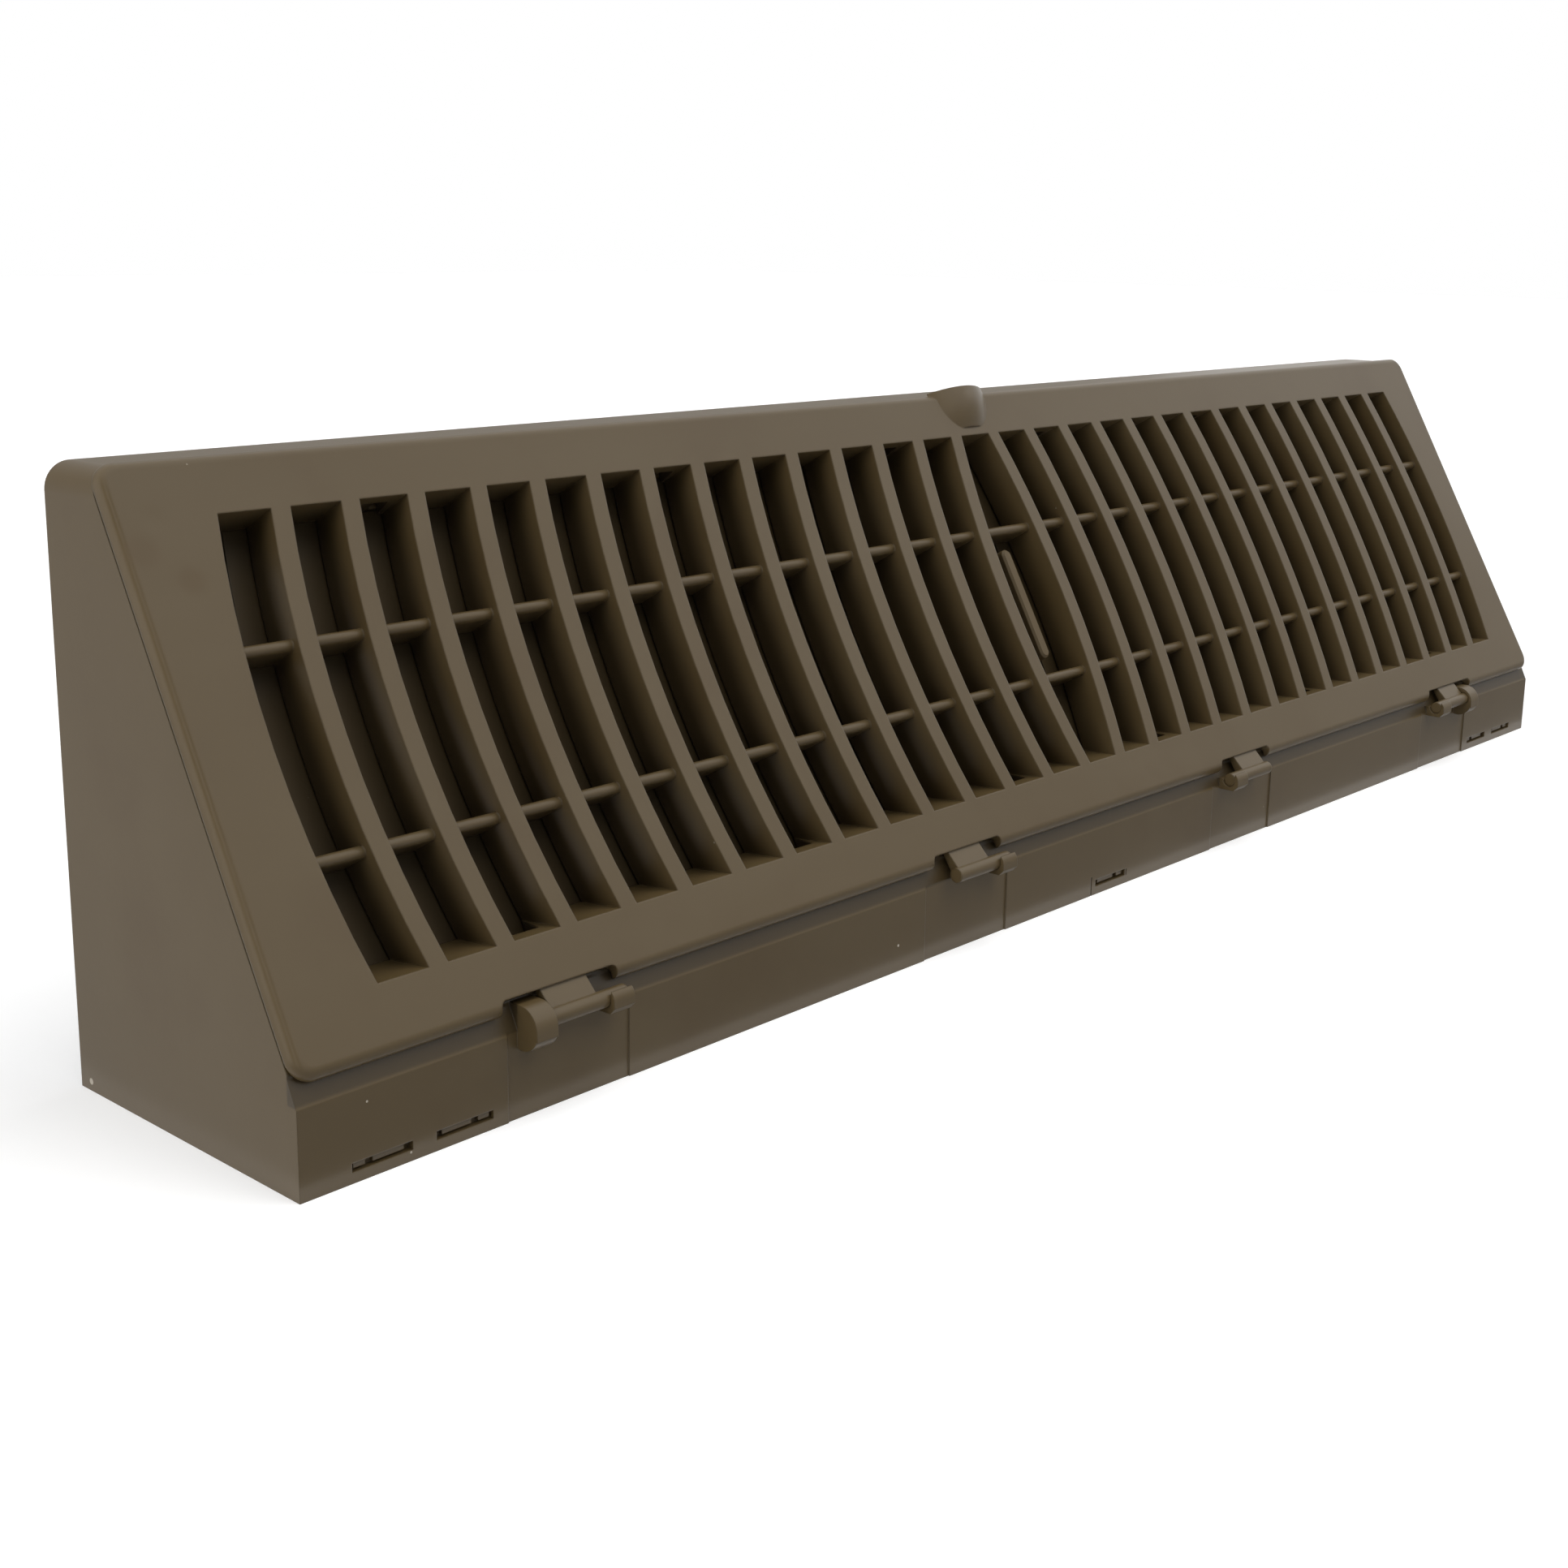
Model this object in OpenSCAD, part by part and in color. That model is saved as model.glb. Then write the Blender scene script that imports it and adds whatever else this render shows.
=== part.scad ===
// Baseboard register: a moulded housing, a hinged grille cover and a sliding shutter behind it.
// X runs along the wall, Y from the front to the wall, Z up from the floor.
// The origin is under the middle of the register, at floor level.

/* [Housing] */
// Length along the wall
length = 457.2; // [440:0.1:620]
// Height from the floor to the top plate
height = 111.8; // [108:0.1:135]
// Depth from the front strip to the wall
depth = 66.8; // [65:0.1:100]
// Thickness of the housing's walls
wall = 2; // [1.6:0.1:2.6]
// Rounding of the two upper corners, seen from the front
corner_r = 4.8; // [4.2:0.1:7]
// Height of the flat front strip
strip_h = 15.8; // [15:0.1:17]
// How far the bevel over the strip runs back
bevel_back = 2.2; // [1.8:0.1:2.6]
// How high the bevel over the strip rises
bevel_rise = 4.6; // [4.2:0.1:4.8]
// Width of the recessed panel under each hinge
panel_w = 28.6; // [27:0.1:32]
// Depth of the recessed panels
panel_deep = 0.3; // [0.2:0.1:0.8]

/* [Knock-out slots in the strip] */
// Lowest edge of the slots above the floor
slot_z = 1.95; // [1:0.05:3]
// Height of the slots
slot_h = 1.6; // [1.2:0.1:3]
// Depth of the slots, which leave a thin skin to break out
slot_deep = 1.4; // [1:0.1:1.5]
// Length of each slot
slot_len = 12.25; // [11.5:0.05:14]
// From the housing's end to the slot next to it
slot_inset = 10.1; // [8:0.1:12]
// Plain strip between the two slots of a pair
slot_space = 4.9; // [3:0.1:6]
// Gap at the outer end of each slot
slot_gap = 0.55; // [0.4:0.05:0.8]
// Length of the block at the outer end of each slot
slot_block = 2.4; // [1.5:0.1:3]
// Length of the open part on either side of each slot's tongue
slot_hole = 1.5; // [1:0.1:2]
// How far the block and the tongue end above a slot's foot
slot_foot = 0.4; // [0.3:0.05:0.6]
// How far the block and the tongue lie behind the strip
slot_sunk = 0.55; // [0.3:0.05:0.8]
// Left end of the slot by the middle of the strip
mid_slot_x = -7.8; // [-12:0.1:-7]
// Width and depth of the score marks beside the middle slot
score_w = 0.35; // [0.2:0.05:0.6]
// Height of the score mark on the left of the middle slot
score_h = 4.6; // [3:0.1:6]
// From the middle slot to the score mark on its left
score_space = 1.9; // [1:0.1:3]

/* [Cover] */
// Lean of the cover's face from the vertical, in degrees
lean = 29.3; // [27:0.1:31]
// Front edge of the cover's foot, ahead of the strip
foot_ahead = 1; // [0.6:0.1:1.4]
// Height of the cover's foot above the floor
foot_z = 20.4; // [20.2:0.1:21]
// How far the cover's top edge stands above the top plate
cover_up = 0.7; // [0.4:0.1:1.2]
// Depth of the cover's rim
rim_deep = 2.2; // [2.1:0.1:2.8]
// Thickness of the cover's face
face_t = 1.6; // [1.5:0.1:1.8]
// Thickness of the rim
rim_t = 2; // [1.8:0.1:2.6]
// Rounding of the cover's front edges
edge_r = 2; // [1.2:0.1:2]
// Rounding of the cover's four corners
cover_r = 4.2; // [3.6:0.1:6]
// Gap between the cover's rim and the housing
cover_gap = 0.3; // [0.3:0.05:0.5]

/* [Grille] */
// Distance from one fin to the next
pitch = 14.55; // [13:0.05:17]
// Thickness of the curved fins
fin_t = 3.95; // [3.2:0.05:5]
// Depth of the fins and the walls round the grille, from the face
grille_deep = 9; // [8:0.1:10]
// Bow of each fin over the height of the window
bow = 4.35; // [2:0.05:5]
// Plain face under the window
under_window = 11.6; // [11:0.1:14]
// Plain face over the window
over_window = 11.3; // [11:0.1:14]
// Least plain face beside the last opening
beside_window = 18; // [16:0.5:30]
// Thickness of the walls round the grille
collar_t = 2; // [1.6:0.1:2.4]
// Slope of the sill at the foot of the openings, in degrees
sill_slope = 24; // [10:1:27]
// Thickness of the two crossbars
crossbar_t = 2.2; // [1.8:0.1:3]
// How far the crossbars lie behind the face
crossbar_sunk = 1.6; // [1:0.1:2.5]
// From the foot of the window to the middle of the lower crossbar
crossbar_low = 22.1; // [18:0.1:26]
// From the lower crossbar to the upper one
crossbar_space = 37.4; // [30:0.1:44]

/* [Thumb rest] */
// Radius of the thumb rest's outline on the face
thumb_r = 9.1; // [7:0.1:12]
// How far the thumb rest stands out of the face
thumb_out = 2.6; // [2:0.1:4]
// How far the thumb rest reaches past the cover's top edge
thumb_up = 0.5; // [0.3:0.1:1.5]

/* [Hinges] */
// From each end of the housing to the hinge next to it
hinge_inset = 57.15; // [50:0.05:70]
// From the middle of the housing to the hinges next to it
hinge_mid = 57.15; // [45:0.05:70]
// Distance of the hinge axis ahead of the strip
axis_ahead = 2.4; // [2.4:0.1:2.6]
// Height of the hinge axis above the floor
axis_z = 17.9; // [17.7:0.1:18]
// Radius of the hinge pins
pin_r = 1.6; // [1.4:0.05:1.65]
// Clearance round the hinge pins
pin_play = 0.08; // [0.05:0.01:0.1]
// Thickness of a knuckle's wall ahead of and under its pin
knuckle_t = 0.92; // [0.86:0.02:1.2]
// Rounding of a closed knuckle's upper front edge
cup_r = 4.1; // [3:0.1:4.2]
// Rounding of an open hook's upper front edge
hook_r = 2.4; // [2:0.1:2.5]
// Bevel along an open hook's lower front edge
hook_bevel = 1.2; // [0.8:0.1:1.5]
// Height of a closed knuckle's top above the axis
knuckle_up = 3.1; // [2.9:0.1:3.2]
// Height of an open hook's top above the axis
hook_up = 2.2; // [2:0.1:2.6]
// Solid outer end of the closed knuckles
cup_end = 1.2; // [0.8:0.1:1.6]
// Clearance at the ends of the hinge pins
end_play = 0.3; // [0.3:0.05:0.6]
// How far an inner hinge's pin stands out of its tab
pin_out = 0.9; // [0.6:0.1:1.5]
// How far the pins stop short of the open hooks' ends
pin_short = 0.4; // [0.2:0.1:1]
// Width of the closed knuckles
cup_w = 4.8; // [4:0.1:5.5]
// From a hinge's middle out to its closed knuckle
cup_out = 7.1; // [6.9:0.1:8]
// Width of the open hooks
hook_w = 5; // [4:0.1:5.2]
// From a hinge's middle in to its open hook
hook_in = 6; // [5.6:0.1:6.2]
// Width of the tab that carries the pin
tab_w = 10.6; // [9:0.1:11]
// From a hinge's middle in to the edge of its tab
tab_in = 4.2; // [4:0.1:4.4]
// Thickness of the tab
tab_t = 1.8; // [1.6:0.1:2]
// From a hinge's middle in to the end of the notch in the cover
notch_in = 11.1; // [11:0.1:12]
// From an outer hinge's middle out to the end of its notch
notch_out = 15.5; // [13:0.1:16]
// From an inner hinge's middle out to the end of its notch
inner_notch_out = 12.1; // [9:0.1:13]
// Height of the notches in the cover's foot
notch_h = 2.4; // [2.2:0.1:2.8]
// Rounding of the notches' upper corners
notch_r = 1.2; // [0.8:0.1:1.6]

/* [Shutter] */
// Gap between the fins and the shutter's ribs
shutter_gap = 0.5; // [0.35:0.05:0.8]
// Thickness of the shutter's plate
shutter_t = 1.2; // [1:0.1:1.6]
// Height of the ribs on the shutter
rib_h = 3; // [2:0.1:4]
// Width of the ribs on the shutter
rib_w = 5.8; // [5:0.1:6]
// Thickness of the rims along the shutter's upper and lower edges
plate_rim = 1; // [0.8:0.1:1.4]
// From the middle of an opening to the rib behind it
rib_shift = 0.65; // [0.6:0.05:0.9]
// Width of the shutter's slots
vent_w = 3.7; // [3:0.05:4]
// Plain plate over and under the shutter's slots
vent_margin = 5.6; // [5:0.1:7]
// Travel from open to shut
travel = 3.75; // [3.4:0.05:3.75]
// Thickness of the thumb blade
blade_t = 3.2; // [2.5:0.1:3.4]
// Bevel round the blade's tip
blade_edge = 0.5; // [0.3:0.1:0.8]
// Length of the thumb blade
blade_len = 27.7; // [20:0.1:30]
// How far the blade's tip lies behind the face
blade_sunk = 1.7; // [1.5:0.1:3]
// From the lens's middle to the blade's middle
blade_shift = 3.2; // [3:0.1:3.4]
// Reach of the clips over the shutter's edges
clip_reach = 1.6; // [1.2:0.1:1.8]
// Thickness of the clips
clip_t = 1.8; // [1.4:0.1:2]
// Width of the clips
clip_w = 5; // [4:0.1:6]
// How far behind the face the notches round the clips begin
clip_notch = 3; // [2.4:0.1:4]
// Half width of those notches at their front
clip_notch_front = 2.9; // [2.4:0.1:3.4]
// Half width of those notches at their back
clip_notch_back = 4.7; // [4.2:0.1:4.9]
// Clearance round the shutter's plate
shutter_play = 0.4; // [0.35:0.05:0.6]
// How far the shutter's edges lie inside the outer faces of the grille's walls
plate_in = 1.1; // [0.9:0.1:1.3]
// How far the shutter reaches past the last openings
plate_over = 1; // [0.6:0.1:1.2]

/* [Hidden] */
$fn = 96;
plastic = [0.39, 0.35, 0.28];
cut = 1;

half = length / 2;
bore_r = pin_r + pin_play;
knuckle_ahead = axis_ahead + bore_r + knuckle_t;
knuckle_z = axis_z - bore_r - knuckle_t;
mid_y = (depth - knuckle_ahead) / 2;

// Openings on each side of the lens, and the face's size along its own slope
opening_w = pitch - fin_t;
openings = floor((half - beside_window - opening_w / 2) / pitch);
face_len = (height + cover_up - foot_z + edge_r * (cos(lean) + sin(lean) - 1)) / cos(lean);
window_lo = under_window;
window_hi = face_len - over_window;
window_mid = (window_lo + window_hi) / 2;
window_half = (window_hi - window_lo) / 2;
bow_r = (window_half * window_half + bow * bow) / (2 * bow);
end_x = openings * pitch + opening_w / 2;
collar_x = end_x + bow + collar_t;
collar_lo = window_lo - collar_t;
collar_hi = window_hi + collar_t;
crossbars = [window_lo + crossbar_low, window_lo + crossbar_low + crossbar_space];

// Depths behind the face
seat_d = rim_deep + cover_gap;
rib_d = grille_deep + shutter_gap;
plate_d = rib_d + rib_h;
clip_d = plate_d + shutter_t + shutter_play;
window_play = 1;
plate_lo = collar_lo + plate_in;
plate_hi = collar_hi - plate_in;

hinges = [hinge_mid, half - hinge_inset];
clip_openings = [2, 7, 12];

// A point at s up the face and d behind it, as [y, z] in the register's own frame
function behind(s, d) = [s * sin(lean) + d * cos(lean) - foot_ahead, foot_z + s * cos(lean) - d * sin(lean)];
// How far up the face a line at depth d meets a given y or z
function s_at_y(y, d) = (y + foot_ahead - d * cos(lean)) / sin(lean);
function s_at_z(z, d) = (z - foot_z + d * sin(lean)) / cos(lean);

// Places what is drawn with the strip's foot as origin into the part's frame
module placed() {
  translate([0, -mid_y, 0]) children();
}

// X stays along the wall, Y runs up the face, and Z stands out of it
module on_face() {
  translate([0, -foot_ahead, foot_z]) rotate([90 - lean, 0, 0]) children();
}

// Extrudes an outline drawn in Y and Z from x0 to x1
module along_x(x0, x1) {
  translate([x0, 0, 0]) rotate([90, 0, 90]) linear_extrude(x1 - x0) children();
}

// Repeats what is drawn for the right half on the left
module both_ends() {
  children();
  mirror([1, 0, 0]) children();
}

// Upright outline with two rounded upper corners, drawn in X and Z
module front_outline(inset) {
  r = corner_r - inset;
  x = half - corner_r;
  z = height - corner_r;
  translate([inset - half, 0]) square([2 * (half - inset), z]);
  translate([-x, 0]) square([2 * x, height - inset]);
  for (side = [-1, 1]) translate([side * x, z]) circle(r);
}

// Side outline of the housing: strip, bevel, the slope behind the cover, top and back
module side_outline() {
  bevel_z = strip_h + bevel_rise;
  polygon([
    [0, 0],
    [0, strip_h],
    [bevel_back, bevel_z],
    behind(s_at_y(bevel_back, seat_d), seat_d),
    behind(s_at_z(height, seat_d), seat_d),
    [depth, height],
    [depth, 0]
  ]);
}

// The hollow behind the walls, open at the floor and at the wall
module hollow_outline() {
  inner_d = seat_d + wall;
  bevel_z = strip_h + bevel_rise;
  polygon([
    [wall, -cut],
    [wall, strip_h],
    [bevel_back + wall, bevel_z],
    behind(s_at_y(bevel_back + wall, inner_d), inner_d),
    behind(s_at_z(height - wall, inner_d), inner_d),
    [depth + cut, height - wall],
    [depth + cut, -cut]
  ]);
}

// A plate in the face's frame with rounded corners and rounded front edges; its front is at z = 0
module soft_plate(x_half, lo, hi, corner, r, deep) {
  x = x_half - corner;
  side = hi - lo - 2 * corner;
  translate([-x, lo + corner, -deep]) cube([2 * x, side, deep]);
  both_ends() translate([x, hi - corner, 0]) {
    rotate([90, 0, 0]) linear_extrude(side) soft_edge(corner, r, deep);
  }
  soft_foot(x, lo + corner, corner, r, deep);
  translate([0, hi + lo, 0]) mirror([0, 1, 0]) soft_foot(x, lo + corner, corner, r, deep);
}

// The plate's lowest strip, with its two corners
module soft_foot(x, s, corner, r, deep) {
  translate([-x, s, 0]) rotate([90, 0, 90]) linear_extrude(2 * x) mirror([1, 0]) soft_edge(corner, r, deep);
  both_ends() translate([x, s, 0]) rotate([0, 0, -90]) rotate_extrude(angle = 90) soft_edge(corner, r, deep);
}

// Section of a rounded edge: x runs outwards from the corner's centre, y from the front down
module soft_edge(reach, r, deep) {
  translate([0, -deep]) square([reach, deep - r]);
  translate([0, -r]) square([reach - r, r]);
  translate([reach - r, -r]) intersection() {
    circle(r);
    square(r);
  }
}

// A flat outline with four rounded corners, drawn in X and up the face
module plate_outline(x_half, lo, hi, corner) {
  translate([-x_half, lo + corner]) square([2 * x_half, hi - lo - 2 * corner]);
  translate([corner - x_half, lo]) square([2 * (x_half - corner), hi - lo]);
  for (x = [corner - x_half, x_half - corner]) {
    for (s = [lo + corner, hi - corner]) translate([x, s]) circle(corner);
  }
}

// Everything to the right of a bowed line that ends at x and is bowed to the left
module right_of(x) {
  translate([x + bow_r - bow, window_mid]) {
    circle(bow_r, $fn = 360);
    translate([0, -bow_r]) square([length + bow_r, 2 * bow_r]);
  }
}

// A bowed band from x0 to x1 in the left half, between two heights on the face
module bowed_band(x0, x1, lo, hi) {
  intersection() {
    difference() {
      right_of(x0);
      right_of(x1);
    }
    translate([x0 - bow - 1, lo]) square([x1 - x0 + bow + 2, hi - lo]);
  }
}

// The lens in the middle: bounded by a bowed line at x0 and a mirrored one at x1
module lens(x0, x1, lo, hi) {
  intersection() {
    right_of(x0);
    mirror([1, 0]) right_of(-x1);
    translate([x0 - bow - 1, lo]) square([x1 - x0 + 2 * bow + 2, hi - lo]);
  }
}

// A pattern behind every opening: from a to b, measured from each opening's middle
module pattern(a, b, lo, hi) {
  for (k = [1 : openings]) {
    bowed_band(a - k * pitch, b - k * pitch, lo, hi);
    mirror([1, 0]) bowed_band(-b - k * pitch, -a - k * pitch, lo, hi);
  }
}

// Housing: shell, window, recessed panels, slots and hinge knuckles

module housing() {
  color(plastic) placed() {
    difference() {
      intersection() {
        along_x(-half, half) side_outline();
        translate([0, depth, 0]) rotate([90, 0, 0]) linear_extrude(depth) front_outline(0);
      }
      intersection() {
        along_x(-half, half) hollow_outline();
        translate([0, depth + cut, 0]) rotate([90, 0, 0]) linear_extrude(depth + cut) hollow_front();
      }
      housing_window();
      both_ends() for (x = hinges) hinge_panel(x);
      both_ends() end_slots();
      mid_slot();
    }
    both_ends() for (x = hinges) translate([x, 0, 0]) open_hook();
    both_ends() translate([half - hinge_inset, 0, 0]) closed_knuckle();
  }
}

// The hollow's front outline reaches below the floor, so that the housing is open there
module hollow_front() {
  front_outline(wall);
  translate([wall - half, -cut]) square([2 * (half - wall), 2 * cut]);
}

// The recessed panel behind a hinge
module hinge_panel(x) {
  translate([x - panel_w / 2, -cut, -cut]) cube([panel_w, cut + panel_deep, strip_h + bevel_rise + cut]);
}

// The window in the slope that the grille's walls, the clips and the shutter swing through
module housing_window() {
  side = collar_x + travel + window_play;
  lo = collar_lo - clip_t - window_play;
  hi = collar_hi + clip_t + 2 * window_play;
  on_face() translate([-side, lo, -seat_d - wall - cut]) cube([2 * side, hi - lo, wall + 2 * cut]);
}

// A slot that starts at x0 and runs towards dir: a block and a tongue hang in it from its upper edge
module slot_cut(x0, dir) {
  tongue_x = slot_gap + slot_block + slot_hole;
  hung = slot_h - slot_foot + cut;
  translate([x0, 0, slot_z]) mirror([dir < 0 ? 1 : 0, 0, 0]) difference() {
    translate([0, -cut, 0]) cube([slot_len, cut + slot_deep, slot_h]);
    translate([slot_gap, slot_sunk, slot_foot]) cube([slot_block, slot_deep, hung]);
    translate([tongue_x, slot_sunk, slot_foot]) cube([slot_len - tongue_x - slot_hole, slot_deep, hung]);
  }
}

// A pair of slots, with their blocks apart
module end_slots() {
  slot_cut(half - slot_inset, -1);
  slot_cut(half - slot_inset - 2 * slot_len - slot_space, 1);
}

// The slot by the middle, between two score marks
module mid_slot() {
  right = mid_slot_x + slot_len;
  slot_cut(right, -1);
  translate([mid_slot_x - score_space, -cut, -cut]) cube([score_w, cut + score_w, cut + score_h]);
  translate([right + score_w, -cut, slot_z]) cube([score_w, cut + score_w, slot_h]);
}

// Side outline of a knuckle: flat foot, upright front and an upper front edge rounded by r
module knuckle_outline(top, r) {
  front = -knuckle_ahead;
  back = panel_deep + wall / 2;
  translate([front, knuckle_z]) square([back - front, top - r - knuckle_z]);
  translate([front + r, knuckle_z]) square([back - front - r, top - knuckle_z]);
  translate([front + r, top - r]) circle(r);
}

// A round bar along X
module pin_shape(long, r) {
  rotate([0, 90, 0]) cylinder(h = long, r = r);
}

// Closed knuckle, bored from its inner side only, with a root on the bevel
module closed_knuckle() {
  top = axis_z + knuckle_up;
  root_y = bevel_back + wall / 2;
  bevel_z = strip_h + bevel_rise;
  difference() {
    along_x(cup_out, cup_out + cup_w) {
      knuckle_outline(top, cup_r);
      polygon([
        [0, top - wall / 2],
        [0, top],
        [root_y, top],
        [root_y, bevel_z - wall / 2],
        [panel_deep, strip_h]
      ]);
    }
    translate([cup_out - cut, -axis_ahead, axis_z]) pin_shape(cup_w - cup_end + cut, bore_r);
  }
}

// Open hook: the pin drops into it from above
module open_hook() {
  x0 = -hook_in - hook_w;
  top = axis_z + hook_up;
  difference() {
    along_x(x0, -hook_in) difference() {
      knuckle_outline(top, hook_r);
      translate([bore_r - axis_ahead, axis_z]) square([knuckle_ahead + wall, top]);
      polygon([
        [-knuckle_ahead - cut, knuckle_z + hook_bevel + cut],
        [hook_bevel - knuckle_ahead + cut, knuckle_z - cut],
        [-knuckle_ahead - cut, knuckle_z - cut]
      ]);
    }
    translate([x0 - cut, -axis_ahead, axis_z]) pin_shape(hook_w + 2 * cut, bore_r);
    translate([x0 - cut, -axis_ahead - bore_r, axis_z]) cube([hook_w + 2 * cut, 2 * bore_r, top]);
  }
}

// Cover: face with rim, bowed fins, crossbars, thumb rest, hinge tabs with pins, and shutter clips

module face_grille() {
  color(plastic) placed() {
    difference() {
      on_face() {
        difference() {
          union() {
            soft_plate(half, 0, face_len, cover_r, edge_r, rim_deep);
            thumb_rest();
          }
          rim_hollow();
        }
      }
      foot_notches();
    }
    on_face() difference() {
      grille_block();
      grille_openings();
      clip_notches();
    }
    on_face() clips();
    both_ends() for (x = hinges) translate([x, 0, 0]) hinge_tab();
    both_ends() for (i = [0, 1]) translate([hinges[i], 0, 0]) hinge_pin(i == 1);
  }
}

// The space behind the face between its rim and the window in it
module rim_hollow() {
  translate([0, 0, -rim_deep - cut]) linear_extrude(rim_deep - face_t + cut) {
    plate_outline(half - rim_t, rim_t + notch_h, face_len - rim_t, cover_r - rim_t);
  }
  translate([0, 0, -rim_deep]) linear_extrude(rim_deep + cut) collar_outline();
}

// Outline of the walls round the grille
module collar_outline() {
  intersection() {
    right_of(-end_x - collar_t);
    mirror([1, 0]) right_of(-end_x - collar_t);
    translate([-collar_x - 1, collar_lo]) square([2 * collar_x + 2, collar_hi - collar_lo]);
  }
}

module grille_block() {
  translate([0, 0, -grille_deep]) linear_extrude(grille_deep) collar_outline();
}

module grille_openings() {
  difference() {
    translate([0, 0, -grille_deep - cut]) linear_extrude(grille_deep + 2 * cut) {
      pattern(-opening_w / 2, opening_w / 2, window_lo, window_hi);
      lens(-opening_w / 2, opening_w / 2, window_lo, window_hi);
    }
    along_window() sill_outline();
    for (s = crossbars) crossbar(s);
  }
}

module along_window() {
  rotate([90, 0, 90]) translate([0, 0, -collar_x]) linear_extrude(2 * collar_x) children();
}

// The sill rises from the face towards the back, drawn up the face and outwards
module sill_outline() {
  deep = grille_deep + 2 * cut;
  polygon([
    [window_lo - cut, 0],
    [window_lo, 0],
    [window_lo + deep * tan(sill_slope), -deep],
    [window_lo - cut, -deep]
  ]);
}

// A crossbar with a round front
module crossbar(s) {
  r = crossbar_t / 2;
  front = crossbar_sunk + r;
  back = grille_deep + 2 * cut;
  translate([-collar_x, s, -front]) pin_shape(2 * collar_x, r);
  translate([-collar_x, s - r, -back]) cube([2 * collar_x, crossbar_t, back - front]);
}

// Domed thumb rest at the middle of the top edge
module thumb_rest() {
  ball_r = (thumb_r * thumb_r + thumb_out * thumb_out) / (2 * thumb_out);
  top = face_len + thumb_up;
  intersection() {
    translate([0, face_len - edge_r / 2, thumb_out - ball_r]) sphere(ball_r, $fn = 180);
    translate([-2 * thumb_r, top - 3 * thumb_r, -rim_deep / 2]) {
      cube([4 * thumb_r, 3 * thumb_r, rim_deep + 2 * thumb_out]);
    }
  }
}

// Notches in the cover's foot that clear the knuckles
module foot_notches() {
  outs = [inner_notch_out, notch_out];
  both_ends() for (i = [0, 1]) on_face() translate([hinges[i] - notch_in, 0, -rim_deep - cut]) {
    linear_extrude(rim_deep + 2 * cut) notch_outline(notch_in + outs[i]);
  }
}

// Outline of a notch of width w, with its upper corners rounded
module notch_outline(w) {
  translate([0, -cut]) square([w, notch_h - notch_r + cut]);
  translate([notch_r, -cut]) square([w - 2 * notch_r, notch_h + cut]);
  for (x = [notch_r, w - notch_r]) translate([x, notch_h - notch_r]) circle(notch_r);
}

// The tab that reaches from the back of the face down to the top and the back of the pin
module hinge_tab() {
  root_s = notch_h + 2.4;
  root_d = face_t - 0.4;
  along_x(-tab_in, tab_w - tab_in) {
    polygon([
      behind(root_s, root_d),
      [-axis_ahead + 0.1 * pin_r, axis_z + 0.9 * pin_r],
      [-axis_ahead - 0.1 * pin_r, axis_z],
      [-axis_ahead + tab_t, axis_z - 0.1 * pin_r],
      behind(root_s, rim_deep)
    ]);
  }
}

// The pin: an outer hinge's pin also reaches into the closed knuckle
module hinge_pin(is_outer) {
  out = is_outer ? cup_out + cup_w - cup_end - end_play : tab_w - tab_in + pin_out;
  in = hook_in + hook_w - pin_short;
  translate([-in, -axis_ahead, axis_z]) pin_shape(in + out, pin_r);
}

// Clips over and under the shutter, which stand free in notches in the grille's walls
module clips() {
  for (side = [-1, 1]) for (k = clip_openings) translate([side * k * pitch, 0, 0]) {
    clip(-1, plate_lo);
    clip(1, plate_hi);
  }
}

// One clip: an arm from the back of the face and a lip behind the shutter; dir points out of the window
module clip(dir, plate_s) {
  inner = plate_s + dir * shutter_play;
  outer = inner + dir * clip_t;
  lip = plate_s - dir * clip_reach;
  root_d = face_t / 2;
  translate([-clip_w / 2, 0, -clip_d - clip_t]) {
    translate([0, min(outer, inner), 0]) cube([clip_w, clip_t, clip_d + clip_t - root_d]);
    translate([0, min(outer, lip), 0]) cube([clip_w, abs(outer - lip), clip_t]);
  }
}

// The notches in the grille's walls in front of the clips
module clip_notches() {
  sill_end = window_lo + grille_deep * tan(sill_slope) + cut;
  for (side = [-1, 1]) for (k = clip_openings) translate([side * k * pitch, 0, 0]) {
    clip_slot(collar_lo - cut, sill_end);
    clip_slot(window_hi - cut, collar_hi + cut);
  }
}

// One notch between two heights on the face, wider towards its back
module clip_slot(lo, hi) {
  back = -grille_deep - cut;
  translate([0, hi, 0]) rotate([90, 0, 0]) linear_extrude(hi - lo) polygon([
    [-clip_notch_front, -clip_notch],
    [clip_notch_front, -clip_notch],
    [clip_notch_back, back],
    [-clip_notch_back, back]
  ]);
}

// Shutter: slotted plate with a rib behind every opening and a thumb blade in the lens

module shutter() {
  color(plastic) placed() on_face() {
    translate([0, 0, -plate_d - shutter_t]) linear_extrude(shutter_t) difference() {
      plate_shape();
      vents();
    }
    translate([0, 0, -plate_d - shutter_t / 2]) linear_extrude(rib_h + shutter_t / 2) {
      ribs();
      edge_rims();
    }
    thumb_blade();
  }
}

// The plate reaches further to the right by its travel to the left
module plate_shape() {
  x_end = end_x + plate_over;
  intersection() {
    right_of(-x_end);
    mirror([1, 0]) right_of(-x_end - travel);
    translate([-length / 2, plate_lo]) square([length, plate_hi - plate_lo]);
  }
}

module vents() {
  a = -opening_w / 2;
  lo = plate_lo + vent_margin;
  hi = plate_hi - vent_margin;
  pattern(a, a + vent_w, lo, hi);
  bowed_band(a, a + vent_w, lo, hi);
}

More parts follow.
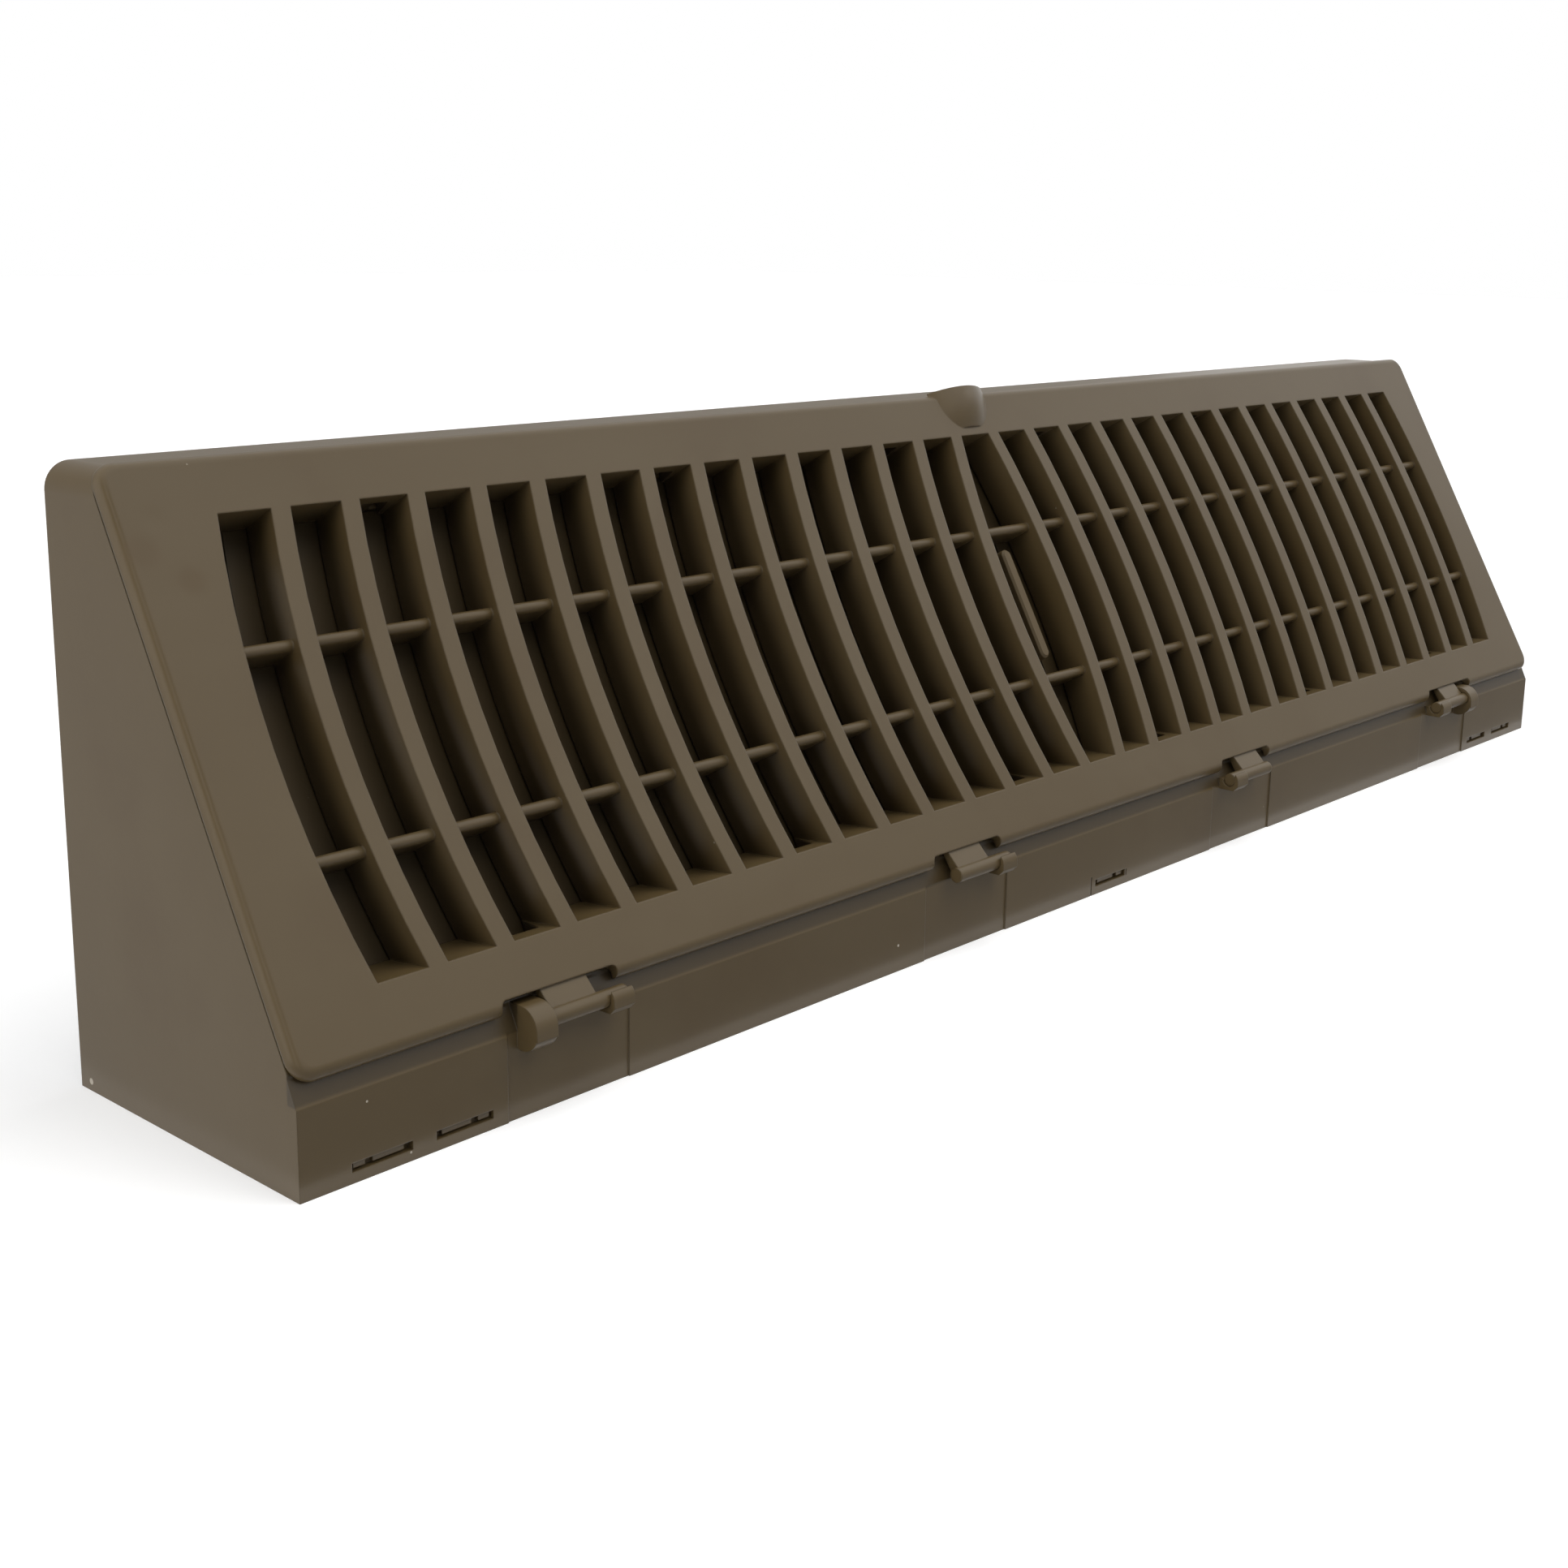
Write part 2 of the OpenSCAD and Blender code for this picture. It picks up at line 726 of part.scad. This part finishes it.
module ribs() {
  pattern(rib_shift, rib_shift + rib_w, plate_lo, plate_hi);
  intersection() {
    mirror([1, 0]) bowed_band(-rib_shift - rib_w, -rib_shift, plate_lo, plate_hi);
    square([pitch, face_len]);
  }
}

// The rims along the shutter's upper and lower edges, as high as its ribs
module edge_rims() {
  for (s = [plate_lo, plate_hi - plate_rim]) intersection() {
    plate_shape();
    translate([-length / 2, s]) square([length, plate_rim]);
  }
}

// Straight blade with round ends and a bevelled flat tip, which the thumb pushes sideways
module thumb_blade() {
  r = blade_t / 2;
  lo = crossbars[0] + (crossbar_space - blade_len) / 2 + r;
  hi = lo + blade_len - blade_t;
  shoulder = blade_sunk + blade_edge;
  foot = plate_d + shutter_t / 2;
  translate([-blade_shift, 0, 0]) {
    for (s = [lo, hi]) translate([0, s, 0]) {
      translate([0, 0, -foot]) cylinder(h = foot - shoulder, r = r);
      translate([0, 0, -shoulder]) cylinder(h = blade_edge, r1 = r, r2 = r - blade_edge);
    }
    translate([0, hi, 0]) rotate([90, 0, 0]) linear_extrude(hi - lo) polygon([
      [-r, -foot],
      [r, -foot],
      [r, -shoulder],
      [r - blade_edge, -blade_sunk],
      [blade_edge - r, -blade_sunk],
      [-r, -shoulder]
    ]);
  }
}

housing();
face_grille();
shutter();
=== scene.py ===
"""Looks of a moulded baseboard register: a housing, a hinged grille cover and a sliding shutter.

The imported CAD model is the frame. Its three mouldings keep their shapes and get their finishes here, and a plain
studio with a pale floor, soft light and one camera is built round them. Every length is in metres, X runs along
the wall, Y towards the wall and Z up.
"""

import logging
import math
from dataclasses import dataclass, field
from enum import Enum

import bmesh
import bpy
from mathutils import Matrix, Vector


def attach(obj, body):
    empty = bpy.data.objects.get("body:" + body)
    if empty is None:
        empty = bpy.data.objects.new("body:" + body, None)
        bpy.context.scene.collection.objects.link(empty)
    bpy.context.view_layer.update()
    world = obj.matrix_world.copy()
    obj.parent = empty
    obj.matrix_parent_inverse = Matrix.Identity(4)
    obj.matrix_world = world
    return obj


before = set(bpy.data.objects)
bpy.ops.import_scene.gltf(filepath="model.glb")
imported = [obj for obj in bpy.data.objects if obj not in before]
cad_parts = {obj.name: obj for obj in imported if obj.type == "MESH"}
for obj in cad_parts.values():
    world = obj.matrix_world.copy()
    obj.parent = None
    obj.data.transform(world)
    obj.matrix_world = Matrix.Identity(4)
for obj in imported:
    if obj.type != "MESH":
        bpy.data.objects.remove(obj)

LOG = logging.getLogger("register")
MM = 0.001
Colour = tuple[float, float, float]
Point = tuple[float, float, float]


class Grain(Enum):
    """How a moulding's surface came out of its mould."""

    POLISHED = "polished"
    SATIN = "satin"
    DULL = "dull"


class Wire:
    """A shader socket or a number that takes part in Python arithmetic."""

    def __init__(self, maker: "NodeMaker", value: object) -> None:
        """Keeps the socket or number.

        Args:
            maker: the maker whose material the socket belongs to.
            value: an output socket, or a plain number.
        """
        self.maker = maker
        self.value = value

    def _sum(self, operation: str, *others: object) -> "Wire":
        """Adds one Math node.

        Args:
            operation: the Math node's operation.
            others: the further operands.

        Returns:
            The node's result.
        """
        node = self.maker.node("ShaderNodeMath", {"operation": operation}, dict(enumerate((self, *others))))
        return Wire(self.maker, node.outputs[0])

    def __add__(self, other: object) -> "Wire":
        """Returns self + other."""
        return self._sum("ADD", other)

    def __radd__(self, other: object) -> "Wire":
        """Returns other + self."""
        return self._sum("ADD", other)

    def __sub__(self, other: object) -> "Wire":
        """Returns self - other."""
        return self._sum("SUBTRACT", other)

    def __rsub__(self, other: object) -> "Wire":
        """Returns other - self."""
        return Wire(self.maker, other)._sum("SUBTRACT", self)

    def __mul__(self, other: object) -> "Wire":
        """Returns self * other."""
        return self._sum("MULTIPLY", other)

    def __rmul__(self, other: object) -> "Wire":
        """Returns other * self."""
        return self._sum("MULTIPLY", other)

    def __truediv__(self, other: object) -> "Wire":
        """Returns self / other."""
        return self._sum("DIVIDE", other)

    def __gt__(self, other: object) -> "Wire":
        """Returns 1 where self is larger than other, and else 0."""
        return self._sum("GREATER_THAN", other)

    def __lt__(self, other: object) -> "Wire":
        """Returns 1 where self is smaller than other, and else 0."""
        return self._sum("LESS_THAN", other)

    def larger(self, other: object) -> "Wire":
        """Returns the larger of self and other."""
        return self._sum("MAXIMUM", other)

    def smaller(self, other: object) -> "Wire":
        """Returns the smaller of self and other."""
        return self._sum("MINIMUM", other)

    def power(self, exponent: float) -> "Wire":
        """Returns self to a power."""
        return self._sum("POWER", exponent)

    def ramp(self, low: float, high: float, to_low: float = 0.0, to_high: float = 1.0) -> "Wire":
        """Maps low..high smoothly and clamped onto to_low..to_high.

        Args:
            low: the value that gives to_low.
            high: the value that gives to_high.
            to_low: the result at low.
            to_high: the result at high.

        Returns:
            The mapped value.
        """
        values = {"Value": self, "From Min": low, "From Max": high, "To Min": to_low, "To Max": to_high}
        node = self.maker.node("ShaderNodeMapRange", {"interpolation_type": "SMOOTHSTEP"}, values)
        return Wire(self.maker, node.outputs["Result"])


class NodeMaker:
    """Builds the nodes of one material."""

    def __init__(self, name: str) -> None:
        """Makes an empty node material.

        Args:
            name: the material's name.
        """
        self.material = bpy.data.materials.new(name)
        self.material.use_nodes = True
        self.tree = self.material.node_tree
        self.tree.nodes.clear()

    def node(self, kind: str, settings: dict | None = None, values: dict | None = None) -> bpy.types.Node:
        """Adds a node, sets it and joins or fills its input sockets.

        Args:
            kind: the node's type name.
            settings: the node's own settings, which are set first.
            values: numbers, colours, sockets or wires by socket name or number.

        Returns:
            The new node.
        """
        made = self.tree.nodes.new(kind)
        for key, value in (settings or {}).items():
            setattr(made, key, value)
        for key, value in (values or {}).items():
            value = value.value if isinstance(value, Wire) else value
            if isinstance(value, bpy.types.NodeSocket):
                self.tree.links.new(value, made.inputs[key])
            else:
                made.inputs[key].default_value = value
        return made

    def place(self) -> bpy.types.NodeSocket:
        """Returns the Object coordinates."""
        return self.node("ShaderNodeTexCoord").outputs["Object"]

    def noise(self, scale: float, detail: float, stretch: Point = (1.0, 1.0, 1.0)) -> Wire:
        """Adds a noise pattern.

        Args:
            scale: waves per metre.
            detail: how many finer layers it has.
            stretch: scaling along each axis.

        Returns:
            The pattern, from 0 to 1.
        """
        moved = self.node("ShaderNodeMapping", None, {"Vector": self.place(), "Scale": stretch})
        values = {"Vector": moved.outputs[0], "Scale": scale, "Detail": detail, "Roughness": 0.55}
        return Wire(self, self.node("ShaderNodeTexNoise", None, values).outputs["Fac"])

    def specks(self, scale: float, size: float, share: float) -> Wire:
        """Adds small sparse specks.

        Args:
            scale: cells per metre.
            size: radius of a speck as a share of its cell.
            share: share of the cells that have one.

        Returns:
            1 on a speck, and else 0.
        """
        cells = self.node("ShaderNodeTexVoronoi", None, {"Vector": self.place(), "Scale": scale})
        chosen = self.node("ShaderNodeSeparateColor", None, {0: cells.outputs["Color"]})
        near = Wire(self, cells.outputs["Distance"]) < size
        return near * (Wire(self, chosen.outputs[0]) < share)

    def spot(self, centre: Point, radius: float) -> Wire:
        """Adds a soft round spot.

        Args:
            centre: the spot's middle.
            radius: the distance at which it has faded out.

        Returns:
            1 at the middle, falling to 0.
        """
        values = {0: self.place(), 1: centre}
        node = self.node("ShaderNodeVectorMath", {"operation": "DISTANCE"}, values)
        return Wire(self, node.outputs["Value"]).ramp(0.0, radius, 1.0, 0.0)

    def along(self, direction: Point) -> Wire:
        """Returns how far each point lies along a direction from the origin."""
        node = self.node("ShaderNodeVectorMath", {"operation": "DOT_PRODUCT"}, {0: self.place(), 1: direction})
        return Wire(self, node.outputs["Value"])

    def blend(self, share: object, first: object, second: object) -> bpy.types.NodeSocket:
        """Mixes two colours.

        Args:
            share: how much of the second colour shows.
            first: a colour or a socket.
            second: a colour or a socket.

        Returns:
            The mixed colour.
        """
        pick = {0: share}
        for number, colour in ((6, first), (7, second)):
            pick[number] = (*colour, 1.0) if isinstance(colour, tuple) else colour
        return self.node("ShaderNodeMix", {"data_type": "RGBA"}, pick).outputs[2]

    def close(self, surface: bpy.types.NodeSocket) -> bpy.types.Material:
        """Joins the surface to the output.

        Args:
            surface: the shader to show.

        Returns:
            The finished material.
        """
        self.node("ShaderNodeOutputMaterial", None, {"Surface": surface})
        return self.material


@dataclass(frozen=True)
class Mark:
    """A small round flaw on a moulding."""

    centre: Point
    radius: float


@dataclass(frozen=True)
class PaintedShadePlane:
    """A plane past which shade is painted into the colour, given by its direction and two distances from the
    origin.
    """

    direction: Point
    begin: float
    full: float


INTO_FACE = (0.0, 0.87207, -0.48938)


@dataclass(frozen=True)
class MouldedPlastic:
    """A through-coloured moulded plastic, with its clouds, flow lines, grain and small flaws, and shade painted
    into its colour past given planes.
    """

    name: str
    colour: Colour = (0.083, 0.0565, 0.0240)
    pale: Colour = (0.096, 0.0690, 0.0340)
    warm: Colour = (0.074, 0.0475, 0.0190)
    dust: Colour = (0.42, 0.38, 0.31)
    # The next three fields paint shade: a dark colour, the planes past which it is mixed in, and how much of it
    # shows.
    painted_shade_colour: Colour = (0.028, 0.0185, 0.0075)
    painted_shade_planes: tuple[PaintedShadePlane, ...] = ()
    painted_shade_share: float = 0.5
    roughness: float = 0.33
    sheen_level: float = 0.52
    grain: Grain = Grain.SATIN
    edge_radius: float = 0.3 * MM
    sinks: tuple[Mark, ...] = ()
    smears: tuple[Mark, ...] = ()
    chips: tuple[Mark, ...] = ()

    def build(self) -> bpy.types.Material:
        """Returns the finish as a node material."""
        maker = NodeMaker(self.name)
        cloud = maker.noise(13.0, 3.0, (1.0, 1.8, 1.8))
        blotch = maker.noise(34.0, 3.0)
        flow = maker.noise(60.0, 4.0, (0.25, 1.0, 1.0))
        peel = maker.noise(520.0, 2.0)
        fine = maker.noise(3200.0, 2.0)
        tint = maker.blend(cloud.ramp(0.35, 0.7) * 0.45 + flow.ramp(0.45, 0.8) * 0.25, self.colour, self.pale)
        tint = maker.blend(blotch.ramp(0.5, 0.72) * 0.5, tint, self.warm)
        smear = self._patches(maker, self.smears, 0.0, 0.8)
        tint = maker.blend(smear * 0.6, tint, self.warm)
        # Painted shade: past the shade planes the colour darkens towards the dark shade colour.
        if self.painted_shade_planes:
            tint = maker.blend(self._painted_shade_mask(maker) * self.painted_shade_share, tint, self.painted_shade_colour)
        marks = self._patches(maker, self.chips, 0.3, 0.6).larger(maker.specks(260.0, 0.05, 0.012) * 0.35)
        colour = maker.blend(marks, tint, self.dust)
        rough = cloud * 0.08 + flow * 0.06 + fine * 0.05 + (self._roughness() - 0.09) + smear * 0.10 + marks * 0.25
        values = {
            "Base Color": colour,
            "Roughness": rough,
            "IOR": 1.49,
            "Specular IOR Level": self.sheen_level,
            "Normal": self._relief(maker, peel, fine, flow),
        }
        surface = maker.node("ShaderNodeBsdfPrincipled", None, values)
        return maker.close(surface.outputs[0])

    def _patches(self, maker: NodeMaker, places: tuple[Mark, ...], low: float, high: float) -> Wire:
        """Joins round patches into one mask.

        Args:
            maker: the material's maker.
            places: the patches.
            low: the spot value below which nothing shows.
            high: the spot value above which the patch shows fully.

        Returns:
            1 inside a patch, and else 0.
        """
        mask = Wire(maker, 0.0)
        for place in places:
            mask = mask.larger(maker.spot(place.centre, place.radius).ramp(low, high))
        return mask

    def _painted_shade_mask(self, maker: NodeMaker) -> Wire:
        """Joins the planes past which shade is painted.

        Args:
            maker: the material's maker.

        Returns:
            1 where a point lies past every plane, and else 0.
        """
        mask = Wire(maker, 1.0)
        for plane in self.painted_shade_planes:
            mask = mask * maker.along(plane.direction).ramp(plane.begin, plane.full)
        return mask

    def _roughness(self) -> float:
        """Returns the roughness for this grain."""
        return self.roughness + {Grain.POLISHED: -0.08, Grain.SATIN: 0.0, Grain.DULL: 0.12}[self.grain]

    def _relief(self, maker: NodeMaker, peel: Wire, fine: Wire, flow: Wire) -> bpy.types.NodeSocket:
        """Adds the softened edges and the fine relief.

        Args:
            maker: the material's maker.
            peel: orange peel.
            fine: fine grain.
            flow: slow waves along the moulding.

        Returns:
            The normal.
        """
        edge = maker.node("ShaderNodeBevel", {"samples": 6}, {"Radius": self.edge_radius})
        height = peel * 0.16 + fine * 0.07 + flow * 0.9
        for sink in self.sinks:
            height = height - maker.spot(sink.centre, sink.radius) * 2.6
        values = {"Strength": 0.35, "Distance": 0.12 * MM, "Height": height, "Normal": edge.outputs[0]}
        return maker.node("ShaderNodeBump", None, values).outputs[0]


@dataclass
class Moulding:
    """One CAD node that keeps its shape and gets a finish."""

    node: str
    slot: str
    finish: MouldedPlastic

    def dress(self) -> None:
        """Puts the finish on the node."""
        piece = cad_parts[self.node]
        piece.data.materials.clear()
        piece.data.materials.append(self.finish.build())
        for face in piece.data.polygons:
            face.material_index = 0
        LOG.info("%s: %d triangles in %s", self.node, len(piece.data.polygons), self.finish.name)


@dataclass
class ClipGuards:
    """Small walls beside the cover's upper clips, which close the clips' notches to the light.

    Lengths run as on the sloping face: along the wall, up the face from its foot, and back from its front.
    """

    finish: MouldedPlastic
    pitch: float = 14.55 * MM
    openings: tuple[int, ...] = (-12, -7, -2, 2, 7, 12)
    near: float = 2.9 * MM
    far: float = 9.0 * MM
    low: float = 96.34 * MM
    high: float = 98.94 * MM
    front: float = 8.9 * MM
    back: float = 12.1 * MM
    rounding: float = 0.25 * MM
    foot: Point = (0.0, -0.0319, 0.0204)
    lean: float = math.radians(29.3)

    def build(self) -> bpy.types.Object:
        """Makes the guards as one piece that rides on the cover.

        Returns:
            The piece.
        """
        shape = bmesh.new()
        slope = Matrix.Translation(self.foot) @ Matrix.Rotation(-self.lean, 4, "X")
        size = Matrix.Diagonal((self.far - self.near, self.back - self.front, self.high - self.low, 1.0))
        for opening in self.openings:
            for side in (-1.0, 1.0):
                along = opening * self.pitch + side * (self.near + self.far) / 2
                middle = Vector((along, (self.front + self.back) / 2, (self.low + self.high) / 2))
                bmesh.ops.create_cube(shape, size=1.0, matrix=slope @ Matrix.Translation(middle) @ size)
        bmesh.ops.bevel(
            shape,
            geom=list(shape.edges),
            offset=self.rounding,
            offset_type="OFFSET",
            segments=2,
            profile=0.5,
            affect="EDGES",
            material=-1,
        )
        bmesh.ops.recalc_face_normals(shape, faces=list(shape.faces))
        mesh = bpy.data.meshes.new("clip_guards")
        shape.to_mesh(mesh)
        shape.free()
        guards = bpy.data.objects.new("clip_guards", mesh)
        bpy.context.scene.collection.objects.link(guards)
        mesh.materials.append(self.finish.build())
        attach(guards, "cover")
        LOG.info("%s: %d faces in %s", guards.name, len(mesh.polygons), self.finish.name)
        return guards


@dataclass
class Register:
    """The whole register: housing, cover and shutter."""

    housing: Moulding = field(
        default_factory=lambda: Moulding(
            "housing",
            "housing",
            MouldedPlastic(
                "housing_plastic",
                # Painted shade on the bevel under the cover's foot, where the foot's overhang shades it.
                painted_shade_planes=(
                    PaintedShadePlane((0.0, 0.0, 1.0), 0.0158, 0.0163),
                    PaintedShadePlane((0.0, 1.0, 0.0), -0.0309, -0.0305),
                    PaintedShadePlane((0.0, -1.0, 0.0), 0.0283, 0.0287),
                ),
                painted_shade_share=0.7,
                chips=(
                    Mark((-0.0803, -0.0309, 0.0057), 0.55 * MM),
                    Mark((-0.2152, -0.0309, 0.0133), 0.40 * MM),
                    Mark((-0.2067, -0.0309, 0.0016), 0.40 * MM),
                    Mark((-0.2286, 0.0325, 0.0018), 1.10 * MM),
                ),
            ),
        )
    )
    cover: Moulding = field(
        default_factory=lambda: Moulding(
            "face_grille",
            "grille",
            MouldedPlastic(
                "cover_plastic",
                edge_radius=0.5 * MM,
                # Painted shade: the cell walls darken with depth behind the face.
                painted_shade_planes=(PaintedShadePlane(INTO_FACE, -0.0363, -0.0300),),
                sinks=(
                    Mark((-0.2188, 0.0082, 0.0919), 6.0 * MM),
                    Mark((-0.2209, 0.0147, 0.1035), 3.2 * MM),
                ),
                smears=(
                    Mark((-0.2178, 0.0092, 0.0936), 4.2 * MM),
                    Mark((-0.2248, 0.0120, 0.0990), 5.0 * MM),
                ),
                chips=(
                    Mark((-0.0618, 0.0033, 0.0822), 0.75 * MM),
                    Mark((-0.1347, -0.0149, 0.0496), 0.95 * MM),
                    Mark((-0.0665, -0.0309, 0.0198), 0.45 * MM),
                ),
            ),
        )
    )
    shutter: Moulding = field(
        default_factory=lambda: Moulding(
            "shutter",
            "shutter",
            MouldedPlastic(
                "shutter_plastic",
                sheen_level=0.35,
                # Painted shade: the shutter darkens where it lies deep behind the face, while its forward blade
                # stays bright.
                painted_shade_planes=(PaintedShadePlane(INTO_FACE, -0.0318, -0.0288),),
                painted_shade_share=0.8,
                grain=Grain.DULL,
                edge_radius=0.2 * MM,
            ),
        )
    )
    guards: ClipGuards = field(
        default_factory=lambda: ClipGuards(MouldedPlastic("guard_plastic", grain=Grain.DULL, edge_radius=0.2 * MM))
    )

    def build(self) -> None:
        """Dresses the three mouldings in order and adds the guards."""
        for moulding in (self.housing, self.cover, self.shutter):
            moulding.dress()
        self.guards.build()


@dataclass(frozen=True)
class Lamp:
    """A broad soft lamp far away."""

    name: str
    source: Point
    strength: float
    spread: float


@dataclass(frozen=True)
class Card:
    """A studio card that shows only in the plastic's gloss."""

    name: str
    centre: Point
    facing: Point
    width: float
    height: float
    level: float


@dataclass
class Studio:
    """Pale floor, soft light and the camera."""

    cards: tuple[Card, ...] = (
        Card("dark_flag", (-0.75, -0.88, 0.73), (0.42, 0.68, -0.52), 1.10, 1.6, 0.02),
        Card("light_strip", (-0.73, -0.85, 0.70), (0.42, 0.68, -0.52), 0.16, 1.5, 2.4),
        Card("grey_front", (1.1, -1.3, 0.36), (-0.6, 0.8, 0.0), 2.6, 0.72, 0.5),
        Card("grey_floor", (0.3, -0.709, 0.001), (0.0, 0.0, 1.0), 2.6, 1.35, 0.36),
        Card("grey_left", (-0.882, 0.76, 0.001), (0.0, 0.0, 1.0), 1.3, 1.58, 0.62),
        Card("grey_wall", (0.6, 1.6, 0.70), (0.0, -1.0, 0.0), 4.0, 1.4, 0.42),
        Card("dark_back", (0.0, 0.048, 0.05), (0.0, -1.0, 0.0), 0.44, 0.095, 0.02),
    )
    floor_size: float = 9.0
    floor_glow: float = 0.42
    floor_colour: Colour = (0.72, 0.72, 0.72)
    sky: float = 0.03
    lamps: tuple[Lamp, ...] = (
        Lamp("overhead", (0.0, -0.30, 1.0), 1.50, 60.0),
        Lamp("right", (0.50, -0.35, 0.75), 1.25, 60.0),
        Lamp("left", (-1.0, 0.12, 0.25), 2.60, 60.0),
        Lamp("front", (0.0, -1.0, 0.35), 0.25, 60.0),
    )
    lens: float = 47.94
    shift: tuple[float, float] = (0.00392, -0.0591)
    eye: Point = (-0.40234, -0.29120, 0.15241)
    right: Point = (0.67803, -0.73492, 0.01319)
    forward: Point = (0.71911, 0.65951, -0.21895)

    def build(self) -> None:
        """Makes the floor, the cards, the light and the camera."""
        self._floor()
        self._mirrored_cards()
        self._world()
        self._lamps()
        self._camera()

    def _card(self, name: str, place: Matrix, width: float, height: float) -> bpy.types.Object:
        """Makes a flat card that is no part of the register.

        Args:
            name: the card's name.
            place: where its middle goes, with its width along X and its height along Y.
            width: its width.
            height: its height.

        Returns:
            The card.
        """
        mesh = bpy.data.meshes.new(name)
        shape = bmesh.new()
        sized = place @ Matrix.Diagonal((width, height, 1.0, 1.0))
        bmesh.ops.create_grid(shape, x_segments=1, y_segments=1, size=0.5, matrix=sized)
        shape.to_mesh(mesh)
        shape.free()
        card = bpy.data.objects.new(name, mesh)
        bpy.context.scene.collection.objects.link(card)
        return card

    def _floor(self) -> None:
        """Lays the floor, which shows white with a soft shadow."""
        floor = self._card("floor", Matrix.Identity(4), self.floor_size, self.floor_size)
        maker = NodeMaker("floor_paper")
        ray = maker.node("ShaderNodeLightPath").outputs
        seen = Wire(maker, ray["Is Camera Ray"]) + Wire(maker, ray["Is Glossy Ray"])
        seen = (seen + Wire(maker, ray["Is Transmission Ray"])).smaller(1.0)
        paper = maker.node("ShaderNodeBsdfDiffuse", None, {"Color": (*self.floor_colour, 1.0)})
        values = {"Color": (1.0, 1.0, 1.0, 1.0), "Strength": seen * self.floor_glow}
        glow = maker.node("ShaderNodeEmission", None, values)
        both = maker.node("ShaderNodeAddShader", None, {0: paper.outputs[0], 1: glow.outputs[0]})
        floor.data.materials.append(maker.close(both.outputs[0]))

    def _mirrored_cards(self) -> None:
        """Hangs the cards that only the plastic's gloss sees."""
        for card in self.cards:
            facing = Vector(card.facing).normalized()
            turn = facing.to_track_quat("Z", "Y").to_matrix().to_4x4()
            shown = self._card(card.name, Matrix.Translation(card.centre) @ turn, card.width, card.height)
            maker = NodeMaker(card.name)
            grey = maker.node("ShaderNodeEmission", None, {"Color": (1.0, 1.0, 1.0, 1.0), "Strength": card.level})
            shown.data.materials.append(maker.close(grey.outputs[0]))
            shown.visible_camera = False
            shown.visible_diffuse = False
            shown.visible_shadow = False
            shown.visible_transmission = False

    def _world(self) -> None:
        """Sets the soft all-round light, and white behind the register."""
        world = bpy.data.worlds.new("studio")
        bpy.context.scene.world = world
        world.use_nodes = True
        tree = world.node_tree
        tree.nodes.clear()
        ray = tree.nodes.new("ShaderNodeLightPath")
        background = tree.nodes.new("ShaderNodeBackground")
        background.inputs["Color"].default_value = (1.0, 1.0, 1.0, 1.0)
        strength = tree.nodes.new("ShaderNodeMapRange")
        strength.inputs["To Min"].default_value = self.sky
        strength.inputs["To Max"].default_value = 1.0
        add = tree.nodes.new("ShaderNodeMath")
        add.operation = "ADD"
        more = tree.nodes.new("ShaderNodeMath")
        more.operation = "ADD"
        output = tree.nodes.new("ShaderNodeOutputWorld")
        tree.links.new(ray.outputs["Is Camera Ray"], add.inputs[0])
        tree.links.new(ray.outputs["Is Glossy Ray"], add.inputs[1])
        tree.links.new(add.outputs[0], more.inputs[0])
        tree.links.new(ray.outputs["Is Transmission Ray"], more.inputs[1])
        tree.links.new(more.outputs[0], strength.inputs["Value"])
        tree.links.new(strength.outputs["Result"], background.inputs["Strength"])
        tree.links.new(background.outputs[0], output.inputs["Surface"])

    def _lamps(self) -> None:
        """Hangs the broad soft lamps, which the gloss doesn't show."""
        for lamp in self.lamps:
            data = bpy.data.lights.new(lamp.name, "SUN")
            data.energy = lamp.strength
            data.angle = math.radians(lamp.spread)
            light = bpy.data.objects.new(lamp.name, data)
            light.visible_glossy = False
            light.rotation_euler = Vector(lamp.source).to_track_quat("Z", "Y").to_euler()
            bpy.context.scene.collection.objects.link(light)

    def _camera(self) -> None:
        """Sets the camera where the photograph was taken from."""
        forward = Vector(self.forward).normalized()
        right = (Vector(self.right) - forward * forward.dot(Vector(self.right))).normalized()
        up = right.cross(forward)
        turn = Matrix((right, up, -forward)).transposed()
        data = bpy.data.cameras.new("camera")
        data.sensor_width = 36.0
        data.lens = self.lens
        data.shift_x, data.shift_y = self.shift
        data.clip_start, data.clip_end = 0.01, 30.0
        camera = bpy.data.objects.new("camera", data)
        camera.matrix_world = Matrix.Translation(Vector(self.eye)) @ turn.to_4x4()
        bpy.context.scene.collection.objects.link(camera)
        bpy.context.scene.camera = camera


def main() -> None:
    """Builds the register's looks and its studio."""
    logging.basicConfig(level=logging.INFO, format="%(name)s %(message)s")
    bpy.context.scene.view_settings.view_transform = "Standard"
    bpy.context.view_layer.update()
    Register().build()
    Studio().build()


if __name__ == "__main__":
    main()
